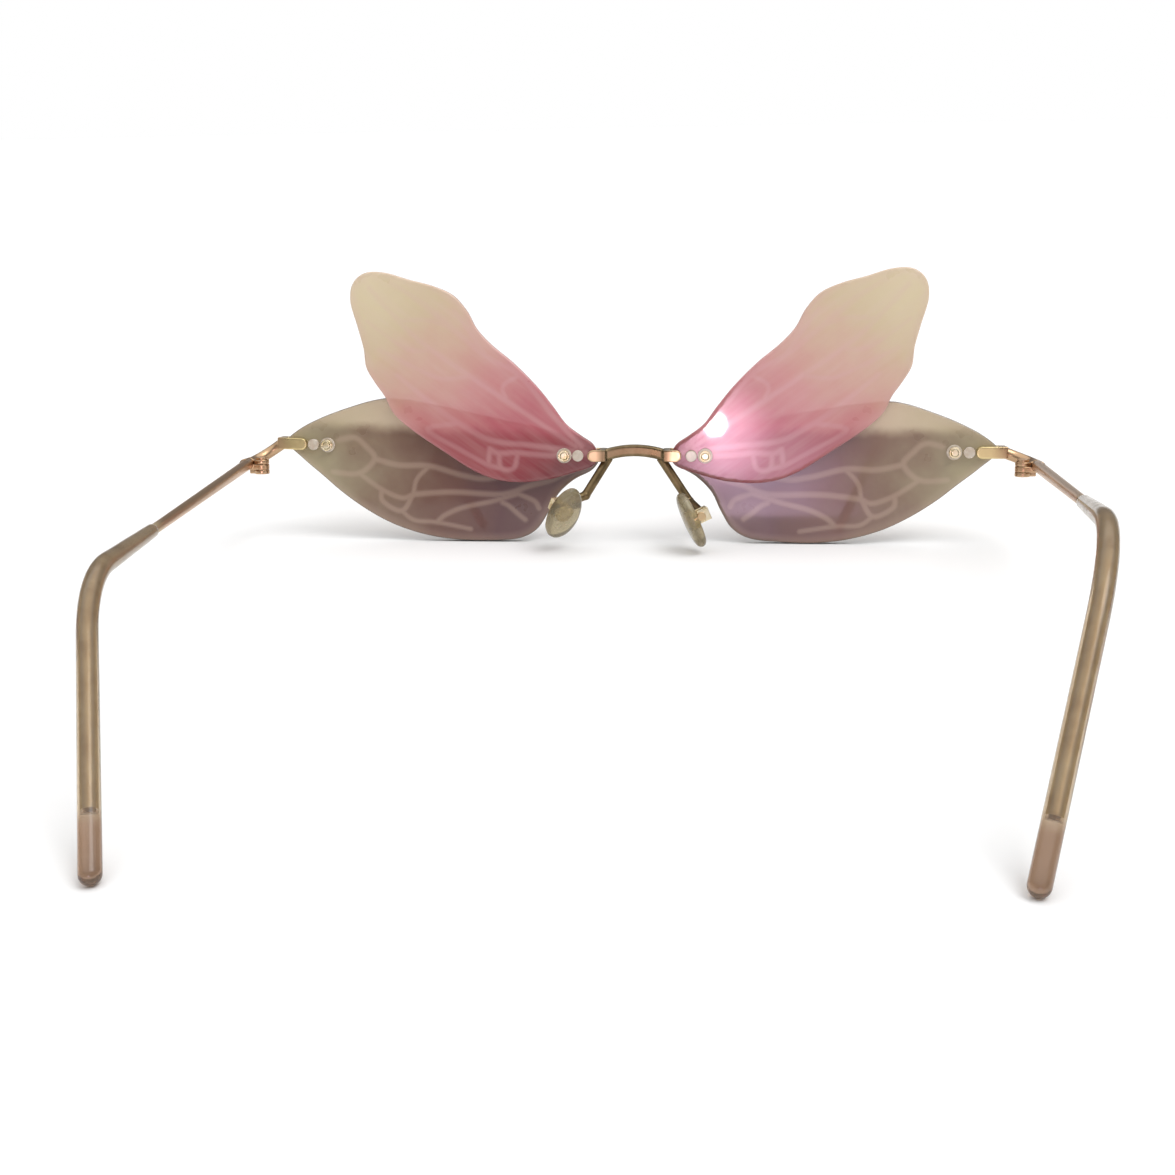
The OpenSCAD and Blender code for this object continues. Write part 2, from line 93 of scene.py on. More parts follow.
LENS_OUTLINE = [
    (67, 0.8), (64.6, 3.4), (60, 5.9), (55, 7.9), (50, 9.5), (46, 9.9), (38, 9), (28, 7.2),
    (17, 5.2), (10, 2.6), (7, 0.3), (8, -2), (11.5, -4.1), (14.4, -7), (16.2, -10.6),
    (18.4, -14), (22, -15.9), (28, -16.5), (34, -16.6), (40, -15.9), (46, -14.2),
    (51.2, -11.7), (56, -8.6), (60, -5.4), (64, -2.2),
]
WING_OUTLINE = [
    (6.9, 0), (7.8, 2.1), (10.2, 3.8), (12.9, 5.9), (15.5, 9.4), (18.6, 13.2),
    (22.6, 17.2), (26.6, 20.5), (29.4, 23.5), (31.2, 26.8), (33.8, 29.7), (37.5, 31.4),
    (42, 32.6), (46.5, 33.9), (50.2, 33.9), (52.6, 32), (53.2, 28.6), (52, 24), (51, 20),
    (50.6, 16.5), (49, 13.6), (47.2, 11), (45.6, 7.8), (42, 4.6), (37, 1.2),
    (30, -3.2), (24, -5), (17, -4.7), (10.5, -3), (7.6, -1.8),
]

# Veins as smooth open lines of (X, Z) points, each with its half width
LENS_VEINS = [
    (0.45, [(57, 1.6), (53.8, 2.2), (51.6, 0.6), (49.9, -1.7), (52.9, -4.6), (58, -4.6)]),
    (0.45, [(49.9, -1.7), (45.1, -2.7), (39.2, -2.6), (32.9, -4.1), (27.7, -4.5), (21, -2.4),
            (15.4, -0.5), (9.5, 0.5)]),
    (0.4, [(52.9, -4.6), (48.5, -7.5), (44.5, -9), (42.3, -8.2)]),
    (0.4, [(48.5, -7.5), (48.2, -9.8), (44.5, -11.5), (42.3, -8.2)]),
    (0.45, [(42.3, -8.2), (34.5, -7.4), (25.2, -7.4), (20, -5.6), (15.4, -4.1), (10.4, -1.4)]),
    (0.4, [(37.6, -13.4), (36, -11.9), (32.6, -10.3), (27.2, -8.9), (22, -7.2)]),
    (0.4, [(25, -9), (23.7, -9.6), (22, -11), (20.5, -12.1)]),
    (0.4, [(22, -7.2), (18.9, -8.4), (17.9, -9.8)]),
    (0.35, [(39.2, -2.6), (41.6, -5.2), (42.3, -8.2)]),
    (0.35, [(44.5, -11.5), (42, -13.2), (37.6, -13.4), (31, -14.4)]),
]
WING_VEINS = [
    (0.45, [(9, 0.6), (14, 1.2), (20.5, 2), (27.2, 2.9), (33.1, 6.1), (38, 9.4), (44.5, 15)]),
    (0.45, [(9, 0.4), (16, 0), (22, 0.5), (25.6, 0.4), (27.3, 1.2)]),
    (0.4, [(22, 0.5), (22.8, -2.4), (25.2, -2.4), (25.6, 0.4)]),
    (0.4, [(33.1, 6.1), (39.2, 4.8), (33.2, 1.2), (27.7, -1.8), (25.2, -2.4)]),
    (0.4, [(27.3, 1.2), (27.7, -1.8)]),
    (0.45, [(10, 1.6), (15.6, 7.9), (21.4, 15), (27.5, 18.4), (34.4, 23.8), (40, 28.6), (45.5, 32)]),
    (0.4, [(11, 1.6), (17.6, 6), (24, 10.2), (30.8, 14.8), (38, 19.6), (44, 25), (49.5, 31)]),
    (0.35, [(30.8, 14.8), (36.5, 14.4), (42, 16.8), (48, 19.8)]),
    (0.35, [(38, 19.6), (43, 20), (50, 25)]),
    (0.35, [(27.5, 18.4), (30.5, 22.6), (33.5, 27)]),
    (0.35, [(34.4, 23.8), (38.8, 25.2), (44, 25)]),
    (0.35, [(21.4, 15), (24.6, 13), (24, 10.2)]),
]


def srgb(r, g, b):
    """A colour given as 0 to 255 on a screen, as a linear colour with alpha."""
    def linear(c):
        c /= 255
        return c / 12.92 if c <= 0.04045 else ((c + 0.055) / 1.055) ** 2.4
    return (linear(r), linear(g), linear(b), 1)


# Tints as (share of the way across, colour): along the wing from root to tip, and across
# the lower and the upper part of the lens from the nose outwards. The lens's lower colours carry painted shade,
# and its upper colours are a painted reflection.
WING_TINT = [
    (0.0, srgb(150, 40, 54)), (0.14, srgb(182, 70, 86)), (0.3, srgb(196, 98, 108)),
    (0.45, srgb(212, 138, 136)), (0.62, srgb(218, 172, 150)), (0.8, srgb(220, 198, 156)),
    (1.0, srgb(232, 216, 172)),
]
# Lower lens: its own smoky tint, darkened by painted shade
LENS_TINT_AND_PAINTED_SHADE = [
    (0.0, srgb(120, 94, 76)), (0.14, srgb(100, 66, 60)), (0.3, srgb(90, 50, 51)),
    (0.5, srgb(110, 72, 58)), (0.7, srgb(134, 108, 88)), (0.88, srgb(162, 148, 120)),
    (1.0, srgb(176, 164, 130)),
]
# Upper lens: a painted reflection that lightens it above a soft line
LENS_PAINTED_REFLECTION_TINT = [(0.0, srgb(176, 122, 116)), (0.6, srgb(220, 196, 166)), (1.0, srgb(200, 184, 144))]
# Colour of the front's metal, by the distance from the middle as a share of PLATING_SPAN: the plating's tan with
# painted shade in the middle of the bridge and painted highlights from the bridge's ends out to the claws at the
# lenses
PLATING_SPAN = 80 * MM
PLATING_AND_PAINTED_LIGHT = [
    (0.0, srgb(100, 84, 60)), (0.075, srgb(100, 84, 60)), (0.09, srgb(214, 184, 146)),
    (0.7, srgb(222, 206, 150)), (0.82, srgb(222, 204, 150)), (0.86, srgb(190, 156, 124)),
    (1.0, srgb(196, 160, 126)),
]

# ---- The wearing frame ----


def wearing_frame():
    """Rotation and origin of the wearing frame, from the left temple's hinge."""
    hinge = joints["temple_left_fold"]
    up = Vector(hinge["axis"]).normalized()
    out = Vector((1, 0, 0))
    turn = Matrix((out, up.cross(out), up)).transposed()
    origin = Vector(hinge["pos_m"]) - turn @ HINGE * MM
    return Matrix.Translation(origin) @ turn.to_4x4()


WEARING = wearing_frame()


def wear(side):
    """From millimetres in the wearing frame to metres in the row's frame."""
    return WEARING @ Matrix.Diagonal((SIDES[side] * MM, MM, MM, 1))


def in_wearing(point):
    """A point of the row's frame in the wearing frame, in millimetres."""
    return (WEARING @ Matrix.Diagonal((MM, MM, MM, 1))).inverted() @ Vector(point)


def turned(axis, degrees):
    return Matrix.Rotation(math.radians(degrees), 4, axis)


def lens_turn(side):
    """The turn of a lens about a point near its middle."""
    about = Matrix.Translation((LENS_TURN_X, 0, 0))
    return about @ turned("Y", -LENS_TURN[side]) @ about.inverted()


def node_middle(node):
    """The middle of a CAD node, in the wearing frame."""
    low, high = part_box(node)
    return in_wearing((low + high) / 2)


# ---- Meshes ----


def mesh_piece(name, verts, faces, matrix, body, replaced, material):
    """A mesh object from vertices in matrix's space, riding on a body in place of CAD nodes."""
    mesh = bpy.data.meshes.new(name)
    mesh.from_pydata([matrix @ Vector(v) for v in verts], [], faces)
    bm = bmesh.new()
    bm.from_mesh(mesh)
    bmesh.ops.recalc_face_normals(bm, faces=bm.faces)
    bm.to_mesh(mesh)
    bm.free()
    for polygon in mesh.polygons:
        polygon.use_smooth = True
    mesh.materials.append(material)
    piece = bpy.data.objects.new(name, mesh)
    bpy.context.scene.collection.objects.link(piece)
    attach(piece, body)
    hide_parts(*replaced)
    return piece


def spline(points, steps, closed):
    """Points of the Catmull-Rom curve through points."""
    p = np.array(points, float)
    n = len(p)
    if closed:
        before, after, after2 = np.roll(p, 1, 0), np.roll(p, -1, 0), np.roll(p, -2, 0)
        spans = range(n)
    else:
        first, last = 2 * p[0] - p[1], 2 * p[-1] - p[-2]
        longer = np.vstack([first, p, last])
        before, p, after, after2 = longer[:-3], longer[1:-2], longer[2:-1], longer[3:]
        spans = range(n - 1)
    found = []
    for i in spans:
        a, b, c, d = before[i], p[i], after[i], after2[i]
        for k in range(steps):
            t = k / steps
            found.append((2 * b + (c - a) * t + (2 * a - 5 * b + 4 * c - d) * t * t
                          + (3 * b - a - 3 * c + d) * t ** 3) / 2)
    if not closed:
        found.append(np.array(points[-1], float))
    return np.array(found)


def evenly(loop, pitch):
    """Points at even distances round a closed loop."""
    ends = np.vstack([loop, loop[:1]])
    lengths = np.concatenate([[0], np.cumsum(np.linalg.norm(np.diff(ends, axis=0), axis=1))])
    at = np.linspace(0, lengths[-1], round(lengths[-1] / pitch), endpoint=False)
    return np.stack([np.interp(at, lengths, ends[:, k]) for k in (0, 1)], 1)


def inward(loop, by):
    """A closed loop moved to its own inner side."""
    along = np.roll(loop, -1, 0) - np.roll(loop, 1, 0)
    along /= np.linalg.norm(along, axis=1)[:, None]
    area = np.sum(loop[:, 0] * np.roll(loop[:, 1], -1) - loop[:, 1] * np.roll(loop[:, 0], -1))
    normal = np.stack([-along[:, 1], along[:, 0]], 1) * math.copysign(1, area)
    return loop + normal * by


def inside(points, loop):
    """Which points lie inside a closed loop, by counting crossings."""
    x, z = points[:, 0][:, None], points[:, 1][:, None]
    x0, z0 = loop[:, 0][None], loop[:, 1][None]
    x1, z1 = np.roll(loop[:, 0], -1)[None], np.roll(loop[:, 1], -1)[None]
    crosses = (z0 > z) != (z1 > z)
    with np.errstate(divide="ignore", invalid="ignore"):
        at = x0 + (z - z0) * (x1 - x0) / (z1 - z0)
    return (crosses & (x < at)).sum(1) % 2 == 1


def distance_to(points, line):
    """Distance from each point to an open line of short straight stretches."""
    best = np.full(len(points), np.inf)
    for a, b in zip(line[:-1], line[1:]):
        span = b - a
        t = np.clip(((points - a) @ span) / (span @ span), 0, 1)
        best = np.minimum(best, np.linalg.norm(points - a - t[:, None] * span, axis=1))
    return best


# ---- Plates: lenses and wings ----

GRID = 0.36          # spacing of the plates' mesh
EDGE_R = 0.35        # rounding of the plates' edges
EDGE_STEPS = 4
RIM_WIDTH = 1.4      # width of the milky rim inside the plates' edges


def circle_loop(x, z, r, count=24):
    turn = np.linspace(0, 2 * math.pi, count, endpoint=False)
    return np.stack([x + r * np.cos(turn), z + r * np.sin(turn)], 1)


def vein_cover(points, veins):
    """How much of a vein lies at each point, from 0 to 1."""
    cover = np.zeros(len(points))
    for half_width, line in veins:
        far = distance_to(points, spline(line, 6, False)) / half_width
        t = np.clip((1.9 - far) / 1.5, 0, 1)
        cover = np.maximum(cover, t * t * (3 - 2 * t))
    return cover


def plate_sheet(outline, holes):
    """Triangles that fill an outline round its holes: points, faces, and the border loops."""
    loops = [outline] + holes
    low, high = outline.min(0), outline.max(0)
    rows = np.arange(low[1], high[1], GRID * math.sqrt(3) / 2)
    grid = np.array([(x + GRID / 2 * (row % 2), z) for row, z in enumerate(rows)
                     for x in np.arange(low[0], high[0], GRID)])
    keep = inside(grid, outline)
    for loop in loops:
        ring = np.vstack([loop, loop[:1]])
        keep &= distance_to(grid, ring) > GRID / 2
    for hole in holes:
        keep &= ~inside(grid, hole)
    points = np.vstack(loops + [grid[keep]])
    edges, borders, start = [], [], 0
    for loop in loops:
        index = list(range(start, start + len(loop)))
        edges += list(zip(index, index[1:] + index[:1]))
        borders.append(index)
        start += len(loop)
    found = geometry.delaunay_2d_cdt([Vector(p) for p in points], edges, [], 0, 1e-6)
    triangles = np.array(found[2])
    middles = points[triangles].mean(1)
    good = inside(middles, outline)
    for hole in holes:
        good &= ~inside(middles, hole)
    return points, triangles[good].tolist(), borders


def plate_mesh(outline, holes, veins, front, back):
    """A plate with rounded edges and drilled holes.

    Gives its vertices, its faces, and each vertex's share of a vein and of the rim."""
    inner = inward(outline, EDGE_R)
    points, triangles, borders = plate_sheet(inner, holes)
    cover = vein_cover(points, veins)
    rim = np.clip(1 - distance_to(points, np.vstack([inner, inner[:1]])) / RIM_WIDTH, 0, 1)
    verts = [(x, back, z) for x, z in points]
    verts += [(x, front, z) for x, z in points]
    n = len(points)
    faces = [tuple(t) for t in triangles] + [tuple(n + i for i in reversed(t)) for t in triangles]
    vein = list(cover) * 2
    edge = list(rim) * 2
    rings = [borders[0]]
    for step in range(1, 2 * EDGE_STEPS + 1):
        if step <= EDGE_STEPS:
            angle, middle = step / EDGE_STEPS * math.pi / 2, back - EDGE_R
        else:
            angle = math.pi / 2 * (1 - (step - EDGE_STEPS - 1) / EDGE_STEPS)
            middle = front + EDGE_R
        ring = inward(outline, EDGE_R * (1 - math.sin(angle)))
        lift = EDGE_R * math.cos(angle) * (1 if step <= EDGE_STEPS else -1)
        rings.append(list(range(len(verts), len(verts) + len(ring))))
        verts += [(x, middle + lift, z) for x, z in ring]
        vein += [0] * len(ring)
        edge += [1 + math.sin(angle)] * len(ring)
    rings.append([n + i for i in borders[0]])
    for a, b in zip(rings[:-1], rings[1:]):
        faces += ring_faces(a, b)
    for border in borders[1:]:
        faces += ring_faces(border, [n + i for i in border])
    return verts, faces, vein, edge


def ring_faces(a, b):
    """Quads between two closed rings of vertex numbers."""
    count = len(a)
    return [(a[i], a[(i + 1) % count], b[(i + 1) % count], b[i]) for i in range(count)]


def plate(name, side, shape, pins, veins, front, turn, material):
    """A lens or a wing in place of its CAD node, with holes round the pins' CAD nodes."""
    outline = evenly(spline(shape, 12, True), GRID)
    holes = []
    for pin in pins:
        middle = node_middle(f"{pin}_{side}")
        middle.x = abs(middle.x)
        middle = turn.inverted() @ middle
        holes.append(circle_loop(middle.x, middle.z, HOLE_R))
    verts, faces, vein, edge = plate_mesh(outline, holes, veins, front, front + PLATE_T)
    piece = mesh_piece(f"{name}_plate_{side}", verts, faces, wear(side) @ turn, "front",
                       [f"{name}_{side}"], material)
    for label, values in (("vein", vein), ("rim", edge)):
        attribute = piece.data.attributes.new(label, "FLOAT", "POINT")
        attribute.data.foreach_set("value", np.array(values, np.float32))
    place = piece.data.attributes.new("wearing", "FLOAT_VECTOR", "POINT")
    place.data.foreach_set("vector", np.array(verts, np.float32).ravel())
    return piece


# ---- Materials ----

# Where the temple wire's colour changes, by the distance back from the origin, in metres
WIRE_CHANGE = (0.004, 0.008)


class Shader:
    """A material's node tree, with short ways to add the nodes used here."""

    def __init__(self, name, **values):
        self.material = bpy.data.materials.new(name)
        self.material.use_nodes = True
        self.tree = self.material.node_tree
        self.surface = self.tree.nodes["Principled BSDF"]
        for socket, value in values.items():
            self.surface.inputs[socket.replace("_", " ")].default_value = value

    def node(self, kind, inputs=(), **settings):
        found = self.tree.nodes.new(kind)
        for key, value in settings.items():
            setattr(found, key, value)
        for socket, value in dict(inputs).items():
            self.feed(found.inputs[socket], value)
        return found

    def feed(self, socket, value):
        """Links an output to a socket, or sets the socket's own value."""
        if isinstance(value, bpy.types.NodeSocket):
            self.tree.links.new(value, socket)
        else:
            socket.default_value = value

    def set(self, socket, value):
        self.feed(self.surface.inputs[socket], value)

    def attribute(self, name, output="Fac"):
        return self.node("ShaderNodeAttribute", attribute_name=name).outputs[output]

    def maths(self, operation, *values, clamp=False):
        inputs = dict(enumerate(values))
        made = self.node("ShaderNodeMath", inputs, operation=operation, use_clamp=clamp)
        return made.outputs[0]

    def ramp(self, value, stops, ease="LINEAR"):
        """A colour ramp over value, with stops as (place, colour)."""
        made = self.node("ShaderNodeValToRGB", {0: value})
        made.color_ramp.interpolation = ease
        elements = made.color_ramp.elements
        while len(elements) < len(stops):
            elements.new(0.5)
        for element, (place, colour) in zip(elements, stops):
            element.position = place
            element.color = colour
        return made.outputs["Color"]

    def range(self, value, low, high, to_low=0.0, to_high=1.0, smooth=False):
        kind = "SMOOTHSTEP" if smooth else "LINEAR"
        inputs = {"Value": value, "From Min": low, "From Max": high, "To Min": to_low, "To Max": to_high}
        return self.node("ShaderNodeMapRange", inputs, interpolation_type=kind).outputs[0]

    def noise(self, vector, scale, detail=2.0, rough=0.5):
        inputs = {"Vector": vector, "Scale": scale, "Detail": detail, "Roughness": rough}
        return self.node("ShaderNodeTexNoise", inputs).outputs["Fac"]

    def mix(self, factor, a, b, blend="MIX"):
        made = self.node("ShaderNodeMix", data_type="RGBA", blend_type=blend)
        colours = [s for s in made.inputs if s.type == "RGBA"]
        self.feed(made.inputs["Factor"], factor)
        self.feed(colours[0], a)
        self.feed(colours[1], b)
        return next(s for s in made.outputs if s.type == "RGBA")

    def bump(self, height, distance, strength=1.0):
        inputs = {"Height": height, "Distance": distance, "Strength": strength}
        self.set("Normal", self.node("ShaderNodeBump", inputs).outputs[0])

    def object_place(self):
        return self.node("ShaderNodeTexCoord").outputs["Object"]


def gold_material():
    """Champagne gold plating with painted light: painted shade darkens the middle of the bridge, and painted
    highlights make it lighter at the bridge's ends and yellower where it holds the lenses.
    """
    s = Shader("gold_plating", Metallic=1.0, IOR=1.5)
    place = s.object_place()
    patches = s.noise(place, 260, 3, 0.6)
    axes = s.node("ShaderNodeSeparateXYZ", {0: place}).outputs
    out = s.range(s.maths("ABSOLUTE", axes["X"]), 0, PLATING_SPAN)
    # Painted shade in the bridge's middle, painted highlights on its ends and on the claws at the lenses
    tint = s.ramp(out, PLATING_AND_PAINTED_LIGHT)
    s.set("Base Color", s.mix(s.range(patches, 0.35, 0.7, 0, 0.3), tint, srgb(206, 184, 146)))
    s.set("Roughness", s.range(patches, 0.3, 0.7, 0.24, 0.4))
    s.bump(s.noise(place, 2600, 2, 0.7), 0.00002, 0.15)
    return s.material


def dull_dark_plating_material():
    """Dull, dark plating on the arms of the nose pads."""
    s = Shader("dull_dark_finish", Metallic=1.0, IOR=1.5)
    patches = s.noise(s.object_place(), 400, 3, 0.6)
    s.set("Base Color", s.ramp(patches, [(0.3, srgb(104, 88, 62)), (0.7, srgb(140, 120, 88))]))
    s.set("Roughness", s.range(patches, 0.3, 0.7, 0.3, 0.45))
    return s.material


def core_material():
    """Satin metal of the temple wires: tan in the open, olive inside the sleeves."""
    s = Shader("satin_wire", Metallic=1.0, IOR=1.5)
    place = s.object_place()
    patches = s.noise(place, 300, 3, 0.6)
    back = s.node("ShaderNodeSeparateXYZ", {0: place}).outputs["Y"]
    covered = s.range(back, *WIRE_CHANGE)
    tint = s.mix(covered, srgb(196, 160, 126), srgb(204, 188, 156))
    s.set("Base Color", s.mix(s.range(patches, 0.35, 0.7, 0, 0.35), tint, srgb(168, 142, 110)))
    s.set("Roughness", s.range(covered, 0, 1, 0.32, 0.5))
    return s.material


def pale_gold_material():
    """Brighter, yellower plating on the screws, nuts and pad holders."""
    s = Shader("pale_gold_plating", Metallic=0.85, IOR=1.5)
    patches = s.noise(s.object_place(), 700, 2, 0.6)
    s.set("Base Color", s.ramp(patches, [(0.35, srgb(222, 202, 156)), (0.65, srgb(240, 228, 200))]))
    s.set("Roughness", s.range(patches, 0.3, 0.7, 0.22, 0.34))
    return s.material


def wing_material(side):
    """Pink plastic that fades to pale yellow at the tip, with milky veins and painted shade below a soft line."""
    s = Shader(f"wing_tint_{side}", IOR=1.5, Coat_Weight=0.7, Coat_Roughness=0.03)
    place = s.attribute("wearing", "Vector")
    axes = s.node("ShaderNodeSeparateXYZ", {0: place}).outputs
    cloud = s.noise(place, 0.14, 3, 0.55)
    along = s.maths("ADD", s.maths("MULTIPLY", axes["X"], 0.52), s.maths("MULTIPLY", axes["Z"], 0.85))
    beside = s.maths("SUBTRACT", s.maths("MULTIPLY", axes["X"], 0.6), s.maths("MULTIPLY", axes["Z"], 0.8))
    streaks = s.noise(s.node("ShaderNodeCombineXYZ", {
        0: s.maths("MULTIPLY", along, 0.04), 1: s.maths("MULTIPLY", beside, 0.34)}).outputs[0], 1.0, 3, 0.6)
    along = s.maths("ADD", along, s.range(cloud, 0.3, 0.7, -2.0, 2.0))
    share = s.range(along, 4, 54)
    tint = s.ramp(share, WING_TINT)
    # Darker and pinker below a soft line across the wing: painted shade, like the painted shade on the lower lens
    low = s.range(s.maths("ADD", axes["Z"], s.range(cloud, 0.3, 0.7, -0.8, 0.8)), 3.0, 6.0,
                  smooth=True)
    tint = s.mix(low, s.mix(1.0, tint, srgb(216, 164, 176), "MULTIPLY"), tint)
    tint = s.mix(s.range(streaks, 0.35, 0.7, 0.0, 0.22), tint, srgb(232, 196, 186))
    vein = s.maths("MULTIPLY", s.attribute("vein"), s.range(share, 0.2, 0.7, 0.34, 0.16))
    rim = s.maths("MULTIPLY", s.attribute("rim"), s.range(share, 0.1, 0.4, 0.0, 0.18), clamp=True)
    s.set("Base Color", s.mix(s.maths("MAXIMUM", vein, rim), tint, srgb(226, 176, 176)))
    s.set("Alpha", s.ramp(share, [(0.0, (0.86,) * 4), (0.4, (0.78,) * 4), (1.0, (0.7,) * 4)]))
    s.set("Roughness", s.range(cloud, 0.3, 0.7, 0.26, 0.38))
    return s.material


def lens_material(side):
    """Smoky brown plastic, pinker towards the nose, with a painted reflection lightening it above a soft line and
    painted shade darkening it below.
    """
    s = Shader(f"lens_tint_{side}", IOR=1.5, Coat_Weight=0.7, Coat_Roughness=0.04)
    place = s.attribute("wearing", "Vector")
    axes = s.node("ShaderNodeSeparateXYZ", {0: place}).outputs
    cloud = s.noise(place, 0.12, 3, 0.55)
    drift = s.range(cloud, 0.3, 0.7, -0.06, 0.06)
    across = s.maths("ADD", s.range(axes["X"], 8, 66), drift)
    # Below the soft line the lens's own tint carries painted shade; above it a painted reflection lightens it
    tint_and_painted_shade = s.ramp(across, LENS_TINT_AND_PAINTED_SHADE)
    painted_reflection_tint = s.ramp(across, LENS_PAINTED_REFLECTION_TINT)
    height = s.range(s.maths("ADD", axes["Z"], s.maths("MULTIPLY", drift, 10.0)), 2.8, 5.6, smooth=True)
    tint = s.mix(height, tint_and_painted_shade, painted_reflection_tint)
    vein = s.maths("MULTIPLY", s.attribute("vein"), 0.3)
    rim = s.maths("MULTIPLY", s.attribute("rim"), 0.2, clamp=True)
    tint = s.mix(s.maths("MAXIMUM", vein, rim), tint, srgb(206, 178, 158))
    edge = s.range(s.attribute("rim"), 1.2, 2.0)
    s.set("Base Color", s.mix(edge, tint, srgb(92, 78, 66)))
    # Nearly opaque below the line, so that the painted shade stays dark
    s.set("Alpha", s.ramp(height, [(0.0, (0.97,) * 4), (1.0, (0.78,) * 4)]))
    s.set("Roughness", s.range(cloud, 0.3, 0.7, 0.26, 0.38))
    return s.material


def clear_material():
    """Slightly milky clear plastic, for washers, caps and spacers."""
    s = Shader("clear_plastic", IOR=1.46, Transmission_Weight=0.3)
    place = s.object_place()
    haze = s.noise(place, 900, 2)
    s.set("Base Color", s.ramp(haze, [(0.3, srgb(226, 208, 188)), (0.7, srgb(246, 236, 222))]))
    s.set("Roughness", s.range(haze, 0.3, 0.7, 0.12, 0.28))
    return s.material


def sleeve_material():
    """Clear brown soft plastic with a little cloudiness."""
    s = Shader("sleeve_plastic", IOR=1.45, Transmission_Weight=0.85)
    place = s.object_place()
    cloud = s.noise(place, 420, 3, 0.6)
    tint = s.ramp(cloud, [(0.28, srgb(182, 160, 132)), (0.5, srgb(206, 186, 158)),
                          (0.72, srgb(214, 198, 172))])
    tip = s.range(s.attribute("to_tip"), 8.5, 5.5, 0, 0.8, smooth=True)
    s.set("Base Color", s.mix(tip, tint, srgb(146, 112, 90)))
    s.set("Roughness", s.range(cloud, 0.3, 0.7, 0.1, 0.22))
    s.bump(s.noise(place, 1500, 2), 0.00003, 0.3)
    return s.material


def pad_material():
    """Translucent, slightly yellowed silicone."""
    s = Shader("pad_silicone", IOR=1.42, Transmission_Weight=0.75)
    place = s.object_place()
    cloud = s.noise(place, 300, 2, 0.5)
    s.set("Base Color", s.ramp(cloud, [(0.3, srgb(172, 158, 126)), (0.7, srgb(196, 184, 152))]))
    s.set("Roughness", s.range(cloud, 0.3, 0.7, 0.18, 0.3))
    return s.material


# ---- Swept and lofted pieces ----


def sweep(path, radii, count=32):
    """Rings of vertices round a path, turned as little as possible from one to the next."""
    path = [Vector(p) for p in path]
    ahead = (path[1] - path[0]).normalized()
    side = ahead.orthogonal().normalized()
    verts, rings = [], []
    for i, (point, radius) in enumerate(zip(path, radii)):
        before, after = path[max(i - 1, 0)], path[min(i + 1, len(path) - 1)]
        if (after - before).length > 1e-9:
            ahead = (after - before).normalized()
        side = (side - ahead * side.dot(ahead)).normalized()
        other = ahead.cross(side)
        rings.append(list(range(len(verts), len(verts) + count)))
        for k in range(count):
            angle = 2 * math.pi * k / count
            verts.append(point + (side * math.cos(angle) + other * math.sin(angle)) * radius)
    faces = []
    for a, b in zip(rings[:-1], rings[1:]):
        faces += ring_faces(a, b)
    return verts, faces, rings


def temple_matrix(side):
    """From the temple's own frame to metres: the arm runs along Y and bends down."""
    place = Matrix.Translation((ARM_X, HINGE.y, ARM_Z))
    lean = turned("Z", TEMPLE_SPLAY) @ turned("X", TEMPLE_PITCH[side]) @ turned("Y", TEMPLE_ROLL)
    return wear(side) @ place @ lean


def sleeve_line(side, end_gap):
    """Centre line of the sleeve from its front end to end_gap before its tip."""
    step = 0.8
    straight, bend = TEMPLE_STRAIGHT[side], BEND_ANGLE[side]
    line = [Vector((0, y, 0)) for y in np.arange(BARE_LEN, straight, step)]
    for angle in np.radians(np.linspace(0, bend, round(bend / 2) + 1)):
        line.append(Vector((0, straight + BEND_R * math.sin(angle),
                            -BEND_R * (1 - math.cos(angle)))))
    end = math.radians(bend)
    down = Vector((0, math.cos(end), -math.sin(end)))
    corner = line[-1]
    length = HOOK_LEN - end_gap
    line += [corner + down * d for d in np.linspace(0, length, round(length / step) + 1)[1:]]
    return line, down


def sleeve(side, material):
    """The ear sleeve: a tapered tube that grips the metal core, with a domed tip."""
    lip = 0.3
    line, down = sleeve_line(side, 0)
    radii = []
    for point in line:
        share = min(max((point.y - BARE_LEN) / (TEMPLE_STRAIGHT[side] - BARE_LEN), 0), 1)
        radii.append(SLEEVE_FRONT_R + (SLEEVE_R - SLEEVE_FRONT_R) * share)
    radii[0] -= lip
    line.insert(1, line[0] + Vector((0, lip * 0.3, 0)))
    radii.insert(1, SLEEVE_FRONT_R - lip * 0.3)
    line.insert(2, line[0] + Vector((0, lip, 0)))
    radii.insert(2, SLEEVE_FRONT_R)
    tip = line[-1]
    for angle in np.radians(np.linspace(0, 90, 9)[1:-1]):
        line.append(tip + down * SLEEVE_R * math.sin(angle))
        radii.append(SLEEVE_R * math.cos(angle))
    verts, faces, rings = sweep(line, radii)
    verts.append(tip + down * SLEEVE_R)
    last = rings[-1]
    faces += [(last[i], last[(i + 1) % len(last)], len(verts) - 1) for i in range(len(last))]
    grip = CORE_R - 0.02
    core_line, _ = sleeve_line(side, SLEEVE_END + 0.02)
    inner, inner_faces, inner_rings = sweep(core_line, [grip] * len(core_line))
    start = len(verts)
    verts += inner
    faces += [tuple(start + i for i in f) for f in inner_faces]
    faces.append(tuple(start + i for i in inner_rings[-1]))
    faces += ring_faces(rings[0], [start + i for i in inner_rings[0]])
    piece = mesh_piece(f"ear_sleeve_{side}", verts, faces, temple_matrix(side),
                       f"temple_{side}", [f"sleeve_{side}"], material)
    to_tip = piece.data.attributes.new("to_tip", "FLOAT", "POINT")
    to_tip.data.foreach_set("value", [(Vector(v) - tip).length for v in verts])
    return piece


